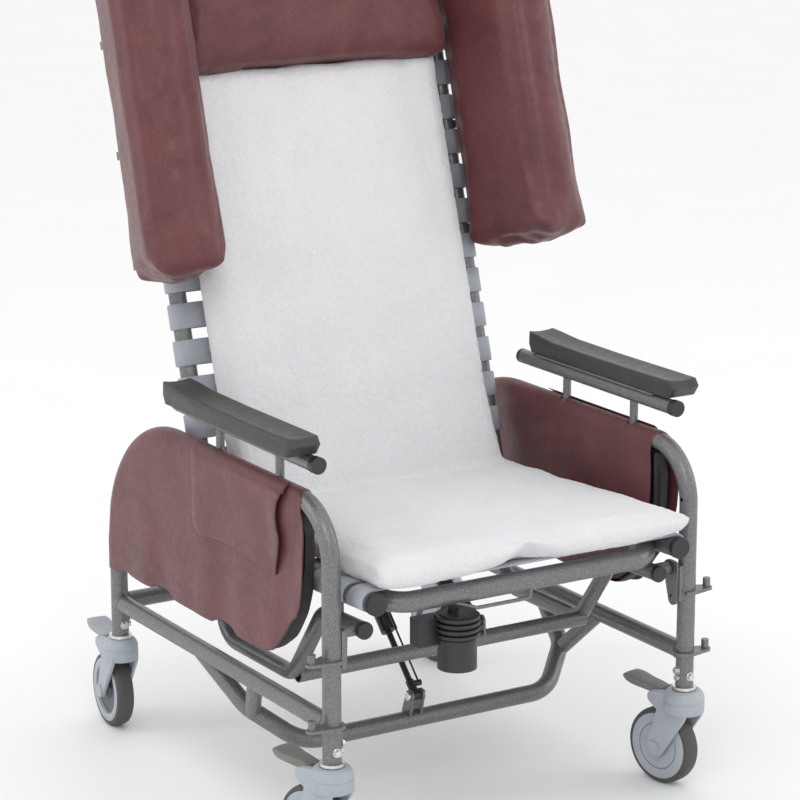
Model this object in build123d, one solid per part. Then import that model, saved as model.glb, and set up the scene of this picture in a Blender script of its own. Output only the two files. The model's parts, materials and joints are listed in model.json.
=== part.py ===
"""Patient recliner chair on casters, in millimetres.

X is the width (symmetric about 0), the chair faces -Y, and Z is up from the floor.
Helpers below work in the leg frame, whose Y = 0 lies midway between the front and
rear legs. ORIGIN_SHIFT_Y moves every exported node, so that the file's origin is the
middle of the whole chair's footprint.
"""
from build123d import *
import os
from math import cos, sin, radians, hypot

# ---- driving dimensions ----
ORIGIN_SHIFT_Y = -15.4      # middle of the footprint lies 15.4 mm behind the leg frame
WALL = 1.6                  # steel tube wall
SMALL_GAP = 0.4             # clearance between neighbouring bodies
SHAFT_GAP = 0.05            # radial clearance of hinge shafts

FRAME_X = 324.0             # side hoop centre plane
FRAME_R = 14.3              # hoop tube, 28.6 mm outside diameter
LEG_Y = 351.0               # legs at -LEG_Y and +LEG_Y
LEG_BOTTOM = 172.0
RAIL_TOP_Z = 556.0          # axis of the top rail
FRONT_BEND = 85.0
REAR_BEND = 220.0
LOW_RAIL_Z = 228.0
STRETCHER_Y = -100.0
STRETCHER_Z = 105.0

SEAT_X = 274.0              # seat and back tube centre plane
SEAT_R = 15.9
SEAT_FRONT = (-390.0, 418.7)
SEAT_REAR = (86.0, 396.6)
SEAT_CROSS_BENDS = [45, 45]
SEAT_CROSS_REAR = 20.0      # y of the rear cross tube under the seat
CRADLE_X = 268.0
CRADLE_R = 12.7
PIVOT = (-335.0, 366.0)     # tilt axis, (y, z)
HINGE = (116.0, 420.0)      # recline axis, (y, z)
CRADLE_FRONT = -347.0       # front ends of the cradle tubes
CRADLE_POINTS = [(CRADLE_X, CRADLE_FRONT, 366), (CRADLE_X, -232, 361), (CRADLE_X, -140, 236),
                 (CRADLE_X, 96, 234), (CRADLE_X, 66, 392)]
CRADLE_BENDS = [30, 45, 45]
PIN_R = 6.0

RECLINE_REST = 16.3         # degrees the back leans at rest
BACK_R = 14.3
BACK_TOP = 905.0            # length of the back tubes from the hinge
STRAP_WIDTH = 41.0
BACK_STRAP_PITCH = 59.0
SEAT_STRAP_PITCH = 56.0
BACK_STRAP_FOOT = 72.0      # how far up the back the lowest strap starts
STRAP_OUT = 5.2             # how far a strap stands off its tube
WING_FOOT = 372.0           # how far up the back the wings start
WING_CORNERS = ((304, -222), (414, -186), (359, 6), (249, -30))   # (x, t) across a wing

PANEL_FRONT = -300.0        # foremost edge of a side cover
PANEL_FOOT = 297.0          # its lower edge
BOARD_HALF = 6.5

ARM_Z = 617.0
ARM_R = 12.0
POST_R = 6.75
POST_YS = (-202.0, -15.0)
POST_BOTTOM = 470.0

WHEEL_R = 62.5
WHEEL_HALF = 15.5
CASTER_TRAIL = 40.0
STEM_R = 11.0

TILT_SPRING_X = -29.0
TILT_SPRING_LOW = (-110.0, 148.0)
TILT_SPRING_TOP = (85.0, 343.0)
RECLINE_SPRING_X = 60.0
RECLINE_SPRING_LOW = (-150.0, 268.0)
RECLINE_SPRING_TOP = (149.0, 389.6)


# ---- shared helpers ----
def bent_tube(points, bends, radius, wall=WALL):
    """Round tube along a path of straight runs and tangent arcs."""
    if len(points) == 2:
        path = Line(points[0], points[1])
    else:
        path = FilletPolyline(*points, radius=bends)
    start = Plane(origin=path @ 0, z_dir=path % 0)
    profile = Circle(radius)
    if wall:
        profile = profile - Circle(radius - wall)
    return sweep(start * profile, path=path)


def solid_rod(points, radius, bends=None):
    """Solid round bar along a path."""
    return bent_tube(points, bends, radius, wall=0)


def x_rod(x0, x1, y, z, radius):
    """Solid cylinder along X."""
    middle = Pos((x0 + x1) / 2, y, z)
    return middle * Rot(0, 90, 0) * Cylinder(radius, abs(x1 - x0))


def z_rod(x, y, z0, z1, radius):
    """Solid cylinder along Z."""
    return Pos(x, y, (z0 + z1) / 2) * Cylinder(radius, abs(z1 - z0))


def block(x0, x1, y0, y1, z0, z1):
    """Box between two corners."""
    middle = Pos((x0 + x1) / 2, (y0 + y1) / 2, (z0 + z1) / 2)
    return middle * Box(abs(x1 - x0), abs(y1 - y0), abs(z1 - z0))


def side_plate(sketch, x0, x1):
    """Extrude a (y, z) sketch between two X planes."""
    low = min(x0, x1)
    return extrude(Plane.YZ.offset(low) * sketch, amount=abs(x1 - x0))


def hull_of_circles(circles):
    """Outline round a list of (y, z, radius) circles."""
    outline = Sketch() + [Pos(y, z) * Circle(r) for y, z, r in circles]
    return make_hull(outline.edges())


def both_sides(shape):
    """A shape and its mirror image across the middle of the chair."""
    return [shape, mirror(shape, about=Plane.YZ)]


def on_back(s, t):
    """(y, z) of a point s along the back tubes from the hinge and t behind their axis."""
    lean = radians(RECLINE_REST)
    y = HINGE[0] + s * sin(lean) + t * cos(lean)
    z = HINGE[1] + s * cos(lean) - t * sin(lean)
    return (y, z)


def back_plane(s):
    """Plane across the back at s: X is the chair's X, its own Y points rearward."""
    y, z = on_back(s, 0)
    lean = radians(RECLINE_REST)
    return Plane(origin=(0, y, z), x_dir=(1, 0, 0), z_dir=(0, sin(lean), cos(lean)))


def seat_line(y, drop=0.0):
    """Height of the seat tube axis at y, less a drop."""
    slope = (SEAT_REAR[1] - SEAT_FRONT[1]) / (SEAT_REAR[0] - SEAT_FRONT[0])
    return SEAT_FRONT[1] + slope * (y - SEAT_FRONT[0]) - drop


# ---- base frame ----
def hoop_tube(radius, wall=WALL):
    """One side hoop on the +X side."""
    points = [(FRAME_X, -LEG_Y, LEG_BOTTOM), (FRAME_X, -LEG_Y, RAIL_TOP_Z),
              (FRAME_X, LEG_Y, RAIL_TOP_Z), (FRAME_X, LEG_Y, LEG_BOTTOM)]
    return bent_tube(points, [FRONT_BEND, REAR_BEND], radius, wall)


def side_frame():
    """Hoop with vertical bores for the armrest posts and holes up the front leg."""
    hoop = hoop_tube(FRAME_R)
    for y in POST_YS:
        hoop -= z_rod(FRAME_X, y, RAIL_TOP_Z - 20, RAIL_TOP_Z + 20, POST_R + SHAFT_GAP)
    for z in (390.0, 420.0, 449.0, 480.0):
        hoop -= x_rod(FRAME_X - 20, FRAME_X, -LEG_Y, z, 3.5)
    return hoop


def leg_cores():
    """Solid cylinders that trim the rails to the round legs."""
    cores = []
    for y in (-LEG_Y, LEG_Y):
        cores += both_sides(z_rod(FRAME_X, y, 160, 480, FRAME_R + 0.02))
    return cores


def side_rail():
    """Straight low rail between the legs of one side."""
    rail = bent_tube([(FRAME_X, -LEG_Y, LOW_RAIL_Z), (FRAME_X, LEG_Y, LOW_RAIL_Z)], None, FRAME_R)
    for core in leg_cores():
        rail -= core
    return rail


def rear_cross_tube():
    """Low tube between the rear legs."""
    cross = bent_tube([(-FRAME_X, LEG_Y, LOW_RAIL_Z), (FRAME_X, LEG_Y, LOW_RAIL_Z)], None, FRAME_R)
    for core in leg_cores():
        cross -= core
    for side in (-FRAME_X, FRAME_X):
        cross -= solid_rod([(side, -LEG_Y, LOW_RAIL_Z), (side, LEG_Y, LOW_RAIL_Z)], FRAME_R + 0.02)
    return max(cross.solids(), key=lambda piece: piece.volume)


def stretcher():
    """Low cross tube whose ends rise to the side rails, with a forward strut each side."""
    half = [(-FRAME_X, 62, LOW_RAIL_Z), (-299, -42, 158), (-232, STRETCHER_Y, STRETCHER_Z)]
    points = half + [(-x, y, z) for x, y, z in reversed(half)]
    bends = [60, 70, 70, 60]
    strut = [(293, -50, 152), (FRAME_X, -118, LOW_RAIL_Z)]
    solid = bent_tube(points, bends, FRAME_R, wall=0)
    inner = bent_tube(points, bends, FRAME_R - WALL, wall=0)
    for run in (strut, [(-x, y, z) for x, y, z in strut]):
        solid += solid_rod(run, FRAME_R - 1.5)
        inner += solid_rod(run, FRAME_R - 1.5 - WALL)
    frame = solid - inner
    for rail in both_sides(solid_rod([(FRAME_X, -LEG_Y, LOW_RAIL_Z), (FRAME_X, LEG_Y, LOW_RAIL_Z)],
                                     FRAME_R + 0.02)):
        frame -= rail
    pieces = frame.solids()
    return max(pieces, key=lambda piece: piece.volume)


def hanger_brackets():
    """Two tabs on each front leg, each with an upright pin for a footrest hanger."""
    pieces = []
    for z in (225.0, 327.0):
        outline = hull_of_circles([(0, 0, 20), (36, -4, 9)])
        tab = extrude(Plane.XY.offset(z) * Pos(FRAME_X, -LEG_Y) * outline, amount=5)
        tab -= z_rod(FRAME_X, -LEG_Y, z - 1, z + 6, FRAME_R + 0.02)
        tab += z_rod(FRAME_X + 36, -LEG_Y - 4, z + 4, z + 19, 6)
        tab -= solid_rod([(FRAME_X, -LEG_Y, LOW_RAIL_Z), (FRAME_X, LEG_Y, LOW_RAIL_Z)], FRAME_R + 0.02)
        if z > LOW_RAIL_Z:
            tab -= block(290, 313, -LEG_Y - 30, -LEG_Y + 30, z - 1, z + 6)
        pieces += both_sides(tab)
    return pieces


def frame_brackets():
    """Tilt pivot plates inside the front legs, and the ears of the tilt spring."""
    y, z = PIVOT
    outline = hull_of_circles([(y, z, 14), (-LEG_Y + 6, 318, 10), (-LEG_Y + 6, z + 2, 12)])
    plate = side_plate(outline, 300, 305)
    plate -= x_rod(299, 306, -LEG_Y + 10, 322, 3.2) + x_rod(299, 306, y, z, PIN_R)
    plate += block(304, FRAME_X - FRAME_R + 1.5, -LEG_Y - 8, -LEG_Y + 3, 316, 374)
    plate -= z_rod(FRAME_X, -LEG_Y, 300, 390, FRAME_R + 0.02)
    pieces = both_sides(plate)
    low_y, low_z = TILT_SPRING_LOW
    for side in (-1, 1):
        x0 = TILT_SPRING_X + side * 8.0
        x1 = TILT_SPRING_X + side * 12.0
        ear = side_plate(hull_of_circles([(low_y, low_z, 10), (STRETCHER_Y, STRETCHER_Z + 12, 12)]), x0, x1)
        ear -= x_rod(-300, 300, STRETCHER_Y, STRETCHER_Z, FRAME_R + 0.02)
        ear -= x_rod(-300, 300, low_y, low_z, 4)
        pieces.append(max(ear.solids(), key=lambda piece: piece.volume))
    return pieces


def frame_bolts():
    """Tilt pivot bolts, the spring ear bolt, stem bolts and hanger bolts."""
    y, z = PIVOT
    low_y, low_z = TILT_SPRING_LOW
    bolt = x_rod(282, 309, y, z, PIN_R) + x_rod(305, 309, y, z, 9)
    pieces = both_sides(bolt)
    spring = x_rod(TILT_SPRING_X - 16, TILT_SPRING_X + 16, low_y, low_z, 4)
    spring += x_rod(TILT_SPRING_X - 16, TILT_SPRING_X - 12, low_y, low_z, 7)
    spring += x_rod(TILT_SPRING_X + 12, TILT_SPRING_X + 16, low_y, low_z, 7)
    pieces.append(spring)
    face = FRAME_X - FRAME_R
    for height in (187.0, 360.0):
        for leg in (-LEG_Y, LEG_Y):
            if height > 300 and leg > 0:
                continue
            head = x_rod(face - 3.5, face + 1.2, leg, height, 5)
            head -= z_rod(FRAME_X, leg, height - 9, height + 9, FRAME_R)
            if height < 300:
                pieces += both_sides(head)
    return pieces


def caster_stems():
    """Stems held in the leg ends, with a collar under each leg."""
    stem = z_rod(0, 0, 136, 172, STEM_R)
    stem += z_rod(0, 0, 167, LEG_BOTTOM, 19)
    stem += z_rod(0, 0, LEG_BOTTOM, 205, FRAME_R - WALL - 0.02)
    return [Pos(x, y, 0) * stem for x, y in LEG_PLACES.values()]


# ---- side panels ----
def panel_outline(grow, front, bottom):
    """Outline in (y, z) below the top rail and inside the rear bend, grown by an amount."""
    radius = REAR_BEND + grow
    top = RAIL_TOP_Z + grow
    centre_y = LEG_Y - REAR_BEND
    centre_z = RAIL_TOP_Z - REAR_BEND
    rear = LEG_Y + grow
    arc = CenterArc((centre_y, centre_z), radius, 0, 90)
    points = [(centre_y, top), (front + 12, top), (front + 14, 540), (front, 505), (front + 2, 455),
              (front + 18, 395), (front + 58, bottom + 39), (front + 96, bottom + 6),
              (front + 148, bottom), (centre_y, bottom), (rear, bottom - 8), (rear, centre_z)]
    return make_face(Curve() + [arc, Polyline(*points)])


def side_cover():
    """Vinyl folded over the top rail: an outer and an inner sheet joined over the tube."""
    outer = FRAME_X + FRAME_R + 3.2
    inner = FRAME_X - FRAME_R - 3.2
    sheet = 2.4
    shell = side_plate(panel_outline(FRAME_R + 3.2, PANEL_FRONT, PANEL_FOOT), inner, outer)
    hollow = side_plate(panel_outline(FRAME_R + 0.6, PANEL_FRONT - 30, 200), inner + sheet, outer - sheet)
    cover = shell - hollow
    for y in POST_YS:
        cover -= z_rod(FRAME_X, y, 540, 590, POST_R + 2)
    pieces = cover.solids()
    return max(pieces, key=lambda piece: piece.volume)


def panel_board():
    """Stiff board between the sheets, slotted for the armrest posts."""
    outline = panel_outline(-FRAME_R - 0.8, PANEL_FRONT + 12, PANEL_FOOT + 2)
    board = side_plate(outline, FRAME_X - BOARD_HALF, FRAME_X + BOARD_HALF)
    for y in POST_YS:
        board -= block(FRAME_X - 10, FRAME_X + 10, y - 8.5, y + 8.5, POST_BOTTOM - 12, 560)
    return board


# ---- armrests ----
def arm_tube():
    """Armrest tube with two posts and a flat strip that carries the pad."""
    tube = bent_tube([(FRAME_X, -306, ARM_Z), (FRAME_X, 112, ARM_Z)], None, ARM_R)
    for y in POST_YS:
        post = z_rod(FRAME_X, y, POST_BOTTOM, ARM_Z, POST_R)
        tube += post - solid_rod([(FRAME_X, -306, ARM_Z), (FRAME_X, 112, ARM_Z)], ARM_R - 0.5)
    strip = block(FRAME_X - 10, FRAME_X + 42, -262, 62, ARM_Z + ARM_R - 1, ARM_Z + ARM_R + 2.5)
    strip -= solid_rod([(FRAME_X, -306, ARM_Z), (FRAME_X, 112, ARM_Z)], ARM_R - 0.5)
    return tube + strip


def arm_pad():
    """Moulded pad, set outward of the tube, with a raised rear end."""
    low = ARM_Z + ARM_R + 2.5
    profile = Polyline((-296, low), (84, low), (92, low + 12), (90, low + 34), (66, low + 31),
                       (20, low + 21), (-270, low + 21), (-310, low + 24), (-316, low + 8), close=True)
    pad = side_plate(make_face(profile), FRAME_X - 11, FRAME_X + 49)
    upright = [edge for edge in pad.edges().filter_by(Axis.Z)]
    return fillet(upright, 3) if upright else pad


def arm_caps():
    """Plugs in both ends of the armrest tube."""
    front = Pos(FRAME_X, -306, ARM_Z) * Rot(90, 0, 0) * Cylinder(ARM_R + 1, 12, align=BOTTOM_ALIGN)
    rear = Pos(FRAME_X, 112, ARM_Z) * Rot(-90, 0, 0) * Cylinder(ARM_R, 7, align=BOTTOM_ALIGN)
    return [front, rear]


# ---- seat ----
def seat_tubes():
    """Two tubes that carry the seat straps."""
    run = [(SEAT_X, *SEAT_FRONT), (SEAT_X, *SEAT_REAR)]
    return both_sides(bent_tube(run, None, SEAT_R))


def seat_cross_points():
    """Path of the front cross tube, which bows forward and down between the seat tubes."""
    half = [(-SEAT_X + 8, -312, seat_line(-312)), (-222, -378, 407)]
    return half + [(-x, y, z) for x, y, z in reversed(half)]


def seat_cross_tubes():
    """Bowed front cross tube and straight rear one, trimmed to the seat tubes."""
    front = bent_tube(seat_cross_points(), SEAT_CROSS_BENDS, SEAT_R)
    y, z = SEAT_CROSS_REAR, seat_line(SEAT_CROSS_REAR)
    rear = bent_tube([(-SEAT_X, y, z), (SEAT_X, y, z)], None, 12.7)
    pieces = []
    for cross in (front, rear):
        for tube in both_sides(solid_rod([(SEAT_X, *SEAT_FRONT), (SEAT_X, *SEAT_REAR)], SEAT_R + 0.02)):
            cross -= tube
        pieces.append(max(cross.solids(), key=lambda piece: piece.volume))
    return pieces


def cradle_tube():
    """Tube that drops from the tilt pivot, runs low under the seat and rises at the rear."""
    tube = bent_tube(CRADLE_POINTS, CRADLE_BENDS, CRADLE_R)
    tube -= solid_rod([(SEAT_X, *SEAT_FRONT), (SEAT_X, *SEAT_REAR)], SEAT_R + 0.02)
    return max(tube.solids(), key=lambda piece: piece.volume)


def cradle_cross_tubes():
    """Low front cross tube and the rear one that carries the tilt spring."""
    pieces = []
    for y, z in ((-150.0, 238.0), (92.0, 300.0)):
        cross = bent_tube([(-CRADLE_X, y, z), (CRADLE_X, y, z)], None, CRADLE_R)
        for tube in both_sides(cradle_core()):
            cross -= tube
        pieces.append(max(cross.solids(), key=lambda piece: piece.volume))
    return pieces


def cradle_core():
    """Solid form of the cradle tube, used to trim what meets it."""
    return bent_tube(CRADLE_POINTS, CRADLE_BENDS, CRADLE_R + 0.02, wall=0)


def seat_brackets():
    """Recline hinge plates, gusset plates and the lugs of both gas springs."""
    y, z = HINGE
    plate = side_plate(hull_of_circles([(y, z, 13), (66, seat_line(66), 13)]), 250, SEAT_X - SEAT_R)
    plate -= block(255, 270, 88, 140, 380, 440)
    plate -= x_rod(240, 280, y, z, PIN_R) + cradle_core()
    pieces = both_sides(max(plate.solids(), key=lambda piece: piece.volume))
    gap_y = -282.4          # middle of the gap between the second and third straps
    gusset = side_plate(hull_of_circles([(gap_y, 362, 6.5), (gap_y, seat_line(gap_y), 6.5)]), 266, 270)
    sleeve = x_rod(CRADLE_X, 298, *PIVOT, 11)
    for shape in (gusset, sleeve):
        shape -= cradle_core()
        shape -= solid_rod([(SEAT_X, *SEAT_FRONT), (SEAT_X, *SEAT_REAR)], SEAT_R + 0.02)
        shape -= x_rod(CRADLE_X, 300, *PIVOT, PIN_R + SHAFT_GAP)
        pieces += both_sides(max(shape.solids(), key=lambda piece: piece.volume))
    top_y, top_z = TILT_SPRING_TOP
    cross = x_rod(-300, 300, 92, 300, CRADLE_R + 0.02)
    for side in (-1, 1):
        lug = side_plate(hull_of_circles([(top_y, top_z, 10), (92, 306, 12)]),
                         TILT_SPRING_X + side * 9.5, TILT_SPRING_X + side * 13.5)
        lug -= cross + x_rod(-100, 100, top_y, top_z, 4)
        pieces.append(max(lug.solids(), key=lambda piece: piece.volume))
    low_y, low_z = RECLINE_SPRING_LOW
    front = x_rod(-300, 300, -150, 238, CRADLE_R + 0.02)
    for side in (-1, 1):
        lug = side_plate(hull_of_circles([(low_y, low_z, 9), (-150, 240, 11)]),
                         RECLINE_SPRING_X + side * 8, RECLINE_SPRING_X + side * 12)
        lug -= front + x_rod(-100, 100, low_y, low_z, 4)
        pieces.append(max(lug.solids(), key=lambda piece: piece.volume))
    return pieces


def hinge_pins():
    """Recline hinge pins and the pins in the seat's spring lugs."""
    y, z = HINGE
    pin = x_rod(246, 292, y, z, PIN_R) + x_rod(246, 250, y, z, 9) + x_rod(288.5, 292, y, z, 9)
    pieces = both_sides(pin)
    pieces.append(x_rod(TILT_SPRING_X - 15, TILT_SPRING_X + 15, *TILT_SPRING_TOP, 4))
    pieces.append(x_rod(RECLINE_SPRING_X - 14, RECLINE_SPRING_X + 14, *RECLINE_SPRING_LOW, 4))
    return pieces


def seat_caps():
    """Black plugs on the front ends of the seat tubes and the cradle tubes."""
    drop = (SEAT_REAR[1] - SEAT_FRONT[1]) / (SEAT_REAR[0] - SEAT_FRONT[0])
    start = Plane(origin=(SEAT_X, *SEAT_FRONT), z_dir=(0, -1, -drop))
    seat_cap = start * Cylinder(SEAT_R + 1.2, 11, align=BOTTOM_ALIGN)
    front = Pos(CRADLE_X, CRADLE_FRONT, PIVOT[1]) * Rot(90, 0, 0)
    cradle_cap = fillet_rim(front * Cylinder(CRADLE_R + 0.8, 9, align=BOTTOM_ALIGN)) - cradle_core()
    return both_sides(fillet_rim(seat_cap)) + both_sides(cradle_cap)


def fillet_rim(shape):
    """Round the sharp edges of a small turned piece."""
    return fillet(shape.edges().filter_by(GeomType.CIRCLE), 2.0)


def strap_ring(tube_r, spread):
    """Cross-section of one strap: a flat loop round two tubes."""
    outer = SlotCenterToCenter(2 * spread, 2 * (tube_r + STRAP_OUT))
    inner = SlotCenterToCenter(2 * spread, 2 * (tube_r + 0.15))
    return outer - inner


def seat_straps():
    """Straps across the seat tubes, hooked round them and notched where the cross tubes meet."""
    direction = (0, SEAT_REAR[0] - SEAT_FRONT[0], SEAT_REAR[1] - SEAT_FRONT[1])
    below = Pos(0, 20) * Rectangle(2 * SEAT_X - 22, 42)
    strip = strap_ring(SEAT_R, SEAT_X) - below
    cores = [bent_tube(seat_cross_points(), SEAT_CROSS_BENDS, SEAT_R + 0.02, wall=0),
             x_rod(-SEAT_X, SEAT_X, SEAT_CROSS_REAR, seat_line(SEAT_CROSS_REAR), 12.72)]
    pieces = []
    for index in range(8):
        y = SEAT_FRONT[0] + 4 + index * SEAT_STRAP_PITCH
        place = Plane(origin=(0, y, seat_line(y)), x_dir=(1, 0, 0), z_dir=direction)
        strap = extrude(place * strip, amount=STRAP_WIDTH)
        for core in cores:
            strap -= core
        pieces.append(max(strap.solids(), key=lambda piece: piece.volume))
    return pieces


def seat_pad():
    """Seat pad that overhangs the front of the seat."""
    lift = SEAT_R + STRAP_OUT + SMALL_GAP
    front = -440.0
    rear = 74.0
    profile = Polyline((front + 12, seat_line(front) + lift), (rear, seat_line(rear) + lift),
                       (rear + 4, 462), (front + 30, 486), (front, 474), close=True)
    pad = side_plate(make_face(profile), -286, 286)
    return fillet(pad.edges().filter_by(Axis.X), 5)


def tilt_buffer():
    """Ribbed buffer that hangs from the front cross tube, with its block."""
    x, y = (-124.0, -380.0)
    body = z_rod(x, y, 292, 340, 30) + z_rod(x, y, 340, 378, 27)
    for index in range(4):
        body += z_rod(x, y, 343 + index * 9, 348 + index * 9, 34)
    body += z_rod(x, y + 12, 370, 400, 8)
    body += block(x - 62, x - 20, y + 8, y + 34, 330, 372)
    body -= x_rod(-300, 300, -378, 407, SEAT_R + 0.02)
    return max(body.solids(), key=lambda piece: piece.volume)


def hanger_rod():
    """Thin bent rod under the front cross tube."""
    y, low, high = -386.0, 381.0, 397.0
    rod = solid_rod([(-136, y, high), (-93, y, low), (3, y, low), (3, y, high)], 3.0, [15, 6])
    rod -= x_rod(-300, 300, -378, 407, SEAT_R + 0.02)
    return max(rod.solids(), key=lambda piece: piece.volume)


# ---- back ----
def back_tube():
    """One back tube with the sleeve of the recline hinge at its foot."""
    y0, z0 = on_back(10, 0)
    y1, z1 = on_back(BACK_TOP, 0)
    tube = bent_tube([(SEAT_X, y0, z0), (SEAT_X, y1, z1)], None, BACK_R)
    sleeve = x_rod(260, 288, *HINGE, 12)
    tube = tube + sleeve
    tube -= x_rod(250, 300, *HINGE, PIN_R + SHAFT_GAP)
    cap = back_plane(BACK_TOP) * Pos(SEAT_X, 0) * Cylinder(BACK_R, 4, align=BOTTOM_ALIGN)
    return tube + cap


def back_cross_tubes():
    """Foot, middle and top cross tubes of the back, with the recline crank."""
    pieces = []
    for s in (42.0, 450.0, BACK_TOP - 28):
        y, z = on_back(s, 0)
        cross = bent_tube([(-SEAT_X, y, z), (SEAT_X, y, z)], None, 12.0)
        low = on_back(-20, 0)
        high = on_back(BACK_TOP + 20, 0)
        for tube in both_sides(solid_rod([(SEAT_X, *low), (SEAT_X, *high)], BACK_R + 0.02)):
            cross -= tube
        if s < 100:
            arm = hull_of_circles([(y, z, 14), (*RECLINE_SPRING_TOP, 9)])
            for side in (-1, 1):
                x0 = RECLINE_SPRING_X + side * 9
                crank = side_plate(arm, x0, x0 + side * 4)
                cross += crank - x_rod(-300, 300, y, z, 11)
            cross += x_rod(RECLINE_SPRING_X - 14, RECLINE_SPRING_X + 14, *RECLINE_SPRING_TOP, 4)
        pieces.append(max(cross.solids(), key=lambda piece: piece.volume))
    return pieces


def back_straps():
    """Straps across the back tubes."""
    pieces = []
    for index in range(13):
        place = back_plane(BACK_STRAP_FOOT + index * BACK_STRAP_PITCH)
        pieces.append(extrude(place * strap_ring(BACK_R, SEAT_X), amount=STRAP_WIDTH))
    return pieces


def back_pad():
    """Pad that lies on the back straps, thicker at its foot."""
    rear = -(BACK_R + STRAP_OUT + SMALL_GAP)
    profile = Polyline(on_back(62, rear), on_back(700, rear), on_back(700, -76), on_back(150, -80),
                       on_back(60, -102), on_back(48, -90), close=True)
    pad = side_plate(make_face(profile), -234, 234)
    return fillet(pad.edges().filter_by(Axis.X), 6)


def headrest():
    """Broad cushion above the back pad."""
    rear = -(BACK_R + STRAP_OUT + SMALL_GAP)
    profile = Polyline(on_back(703, rear), on_back(BACK_TOP + 18, rear), on_back(BACK_TOP + 18, -88),
                       on_back(BACK_TOP - 30, -104), on_back(740, -112), on_back(703, -94), close=True)
    cushion = side_plate(make_face(profile), -246, 246)
    return fillet(cushion.edges().filter_by(Axis.X), 12)


def wing():
    """Tall side bolster, mounted outside one back tube."""
    outline = Polyline(*WING_CORNERS, close=True)
    length = BACK_TOP + 30 - WING_FOOT
    bolster = extrude(back_plane(WING_FOOT) * make_face(outline), amount=length)
    return fillet(bolster.edges(), 12)


def wing_brackets():
    """Flat bars between the back tubes and the wings, in the gaps between straps."""
    pieces = []
    low = on_back(0, 0)
    high = on_back(BACK_TOP, 0)
    outline = make_face(Polyline(*WING_CORNERS, close=True))
    bolster = extrude(back_plane(WING_FOOT) * outline, amount=BACK_TOP - WING_FOOT)
    for index in (6, 9, 12):
        s = BACK_STRAP_FOOT + index * BACK_STRAP_PITCH - 15.5
        bar = extrude(back_plane(s) * Pos(312, -4) * Rectangle(56, 24), amount=13)
        bar -= solid_rod([(SEAT_X, *low), (SEAT_X, *high)], BACK_R + 0.02)
        bar -= bolster
        pieces += both_sides(max(bar.solids(), key=lambda piece: piece.volume))
    return pieces


def push_points():
    """Corner points of the push handle behind the back."""
    root = [(SEAT_X, *on_back(BACK_TOP - 70, 8)), (SEAT_X, *on_back(BACK_TOP - 70, 96))]
    far = [(-x, y, z) for x, y, z in reversed(root)]
    return root + far


def push_handle():
    """Bent bar behind the back for the attendant."""
    bar = bent_tube(push_points(), [45, 45], 11.0)
    low = on_back(0, 0)
    high = on_back(BACK_TOP, 0)
    for tube in both_sides(solid_rod([(SEAT_X, *low), (SEAT_X, *high)], BACK_R + 0.02)):
        bar -= tube
    return max(bar.solids(), key=lambda piece: piece.volume)


def push_grip():
    """Soft sleeve round the middle of the push handle."""
    y, z = on_back(BACK_TOP - 70, 96)
    return x_rod(-190, 190, y, z, 15.5) - x_rod(-200, 200, y, z, 11.02)


# ---- gas springs ----
def spring_rod(x, low, high, rod_r, eye_r, length):
    """Rod with an eye at the low end."""
    span = hypot(high[0] - low[0], high[1] - low[1])
    uy, uz = (high[0] - low[0]) / span, (high[1] - low[1]) / span
    end = (x, low[0] + uy * length, low[1] + uz * length)
    start = (x, low[0] + uy * (eye_r + 1), low[1] + uz * (eye_r + 1))
    rod = solid_rod([start, end], rod_r)
    neck = solid_rod([start, (x, low[0] + uy * 26, low[1] + uz * 26)], 7)
    eye = x_rod(x - 7.2, x + 7.2, *low, eye_r + 4)
    return (rod + neck + eye) - x_rod(x - 20, x + 20, *low, eye_r)


def spring_cylinder(x, low, high, rod_r, eye_r, length):
    """Cylinder with an eye at the low end and a bore for the rod at the other."""
    span = hypot(high[0] - low[0], high[1] - low[1])
    uy, uz = (high[0] - low[0]) / span, (high[1] - low[1]) / span

    def at(distance):
        return (x, low[0] + uy * distance, low[1] + uz * distance)

    body = solid_rod([at(eye_r + 1), at(28)], 7) + solid_rod([at(22), at(length)], 12)
    body += x_rod(x - 7.2, x + 7.2, *low, eye_r + 4)
    body -= solid_rod([at(34), at(length - 6)], 10.2)
    body -= solid_rod([at(30), at(length + 1)], rod_r + SHAFT_GAP)
    return body - x_rod(x - 20, x + 20, *low, eye_r)


def tilt_spring_rod():
    """Rod of the tilt spring, with the release head that the cable runs into."""
    rod = spring_rod(TILT_SPRING_X, TILT_SPRING_LOW, TILT_SPRING_TOP, 5.0, 4 + SHAFT_GAP, 155)
    y, z = TILT_SPRING_LOW
    reach = 20 * cos(radians(45))
    return rod + x_rod(TILT_SPRING_X, TILT_SPRING_X + 18, y + reach, z + reach, 5)


def tilt_cable(offset, start, end, radius, bore=0.0):
    """Straight cable stretch beside the tilt spring."""
    low, high = TILT_SPRING_LOW, TILT_SPRING_TOP
    span = hypot(high[0] - low[0], high[1] - low[1])
    uy, uz = (high[0] - low[0]) / span, (high[1] - low[1]) / span

    def at(distance):
        return (TILT_SPRING_X + offset, low[0] + uy * distance, low[1] + uz * distance)

    cable = solid_rod([at(start), at(end)], radius)
    if bore:
        cable -= solid_rod([at(start - 1), at(end + 1)], bore)
    return cable


# ---- casters ----
LEG_PLACES = {
    "front_left": (-FRAME_X, -LEG_Y),
    "front_right": (FRAME_X, -LEG_Y),
    "rear_left": (-FRAME_X, LEG_Y),
    "rear_right": (FRAME_X, LEG_Y),
}
CASTER_TURNS = {"front_left": 12.5, "front_right": 12.5, "rear_left": -5.0, "rear_right": 0.0}
BOTTOM_ALIGN = (Align.CENTER, Align.CENTER, Align.MIN)


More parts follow.
